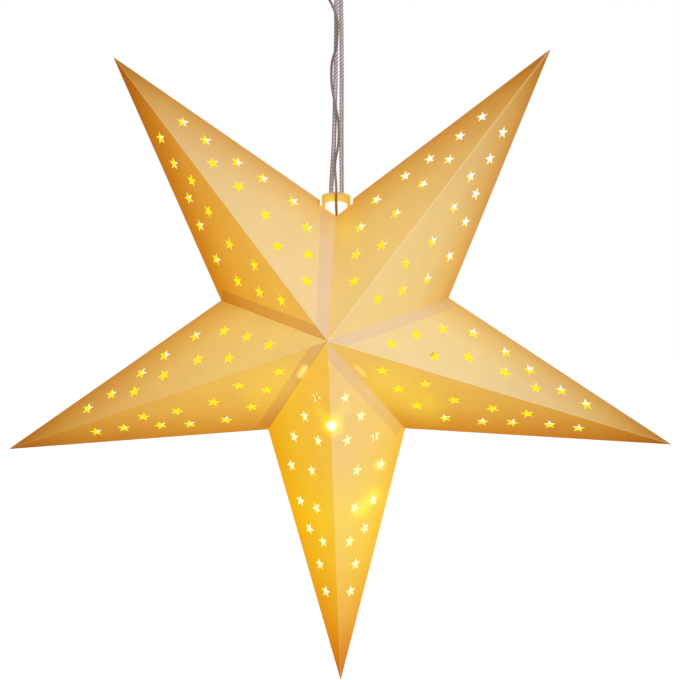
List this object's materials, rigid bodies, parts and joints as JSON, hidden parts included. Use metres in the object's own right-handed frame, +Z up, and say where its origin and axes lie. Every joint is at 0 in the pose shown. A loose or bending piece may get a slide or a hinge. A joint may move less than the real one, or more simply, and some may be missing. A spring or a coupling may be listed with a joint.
{
  "type": "paper star lantern pendant",
  "caption": "Folded paper star lantern with punched star holes, lit inside by a light string, on a looped braided cord with a hanger cap and a battery box.",
  "frame": {"origin": "inner top of the hanging loop, where a hook or nail carries the pendant", "axes": "+Z up, -Y the star's front, +X to the right seen from the front"},
  "size_m": [0.5671, 0.17, 0.7037],
  "materials": {
    "card_paper": "matt card, lit from inside",
    "cap_plastic": "translucent moulding",
    "braided_cord": "grey-mauve braid",
    "case_plastic": "fine texture",
    "cell_wrap": "plain wrap",
    "contact_steel": "nickel plated",
    "circuit_board": "solder mask",
    "switch_plastic": "satin",
    "grommet_rubber": "matt",
    "flex_jacket": "clear jacket over copper",
    "led_sleeve": "clear shrink sleeve",
    "led_lens": "lit warm white"
  },
  "bodies": {
    "root": {"card_upper_left": "card_paper", "card_lower_left": "card_paper", "card_bottom": "card_paper", "card_lower_right": "card_paper", "card_upper_right": "card_paper", "hanger_cap": "cap_plastic", "hanging_cord": "braided_cord", "cord_knot": "braided_cord", "battery_case": "case_plastic", "aa_cell_1": "cell_wrap", "aa_cell_2": "cell_wrap", "aa_cell_3": "cell_wrap", "contact_springs": "contact_steel", "contact_plates": "contact_steel", "timer_board": "circuit_board", "switch_body": "switch_plastic", "flex_grommet": "grommet_rubber", "lead_flex": "flex_jacket", "string_flex": "flex_jacket", "led_sleeves": "led_sleeve", "led_lenses": "led_lens"},
    "battery_lid": {"battery_lid": "case_plastic"},
    "switch_knob": {"switch_knob": "switch_plastic"}
  },
  "joints": [
    {"name": "lid_slide", "type": "slide", "parent": "root", "child": "battery_lid", "axis": [0, 0, 1], "range_m": [0, 0.058]},
    {"name": "switch_slide", "type": "slide", "parent": "root", "child": "switch_knob", "axis": [1, 0, 0], "range_m": [0, 0.004]}
  ]
}
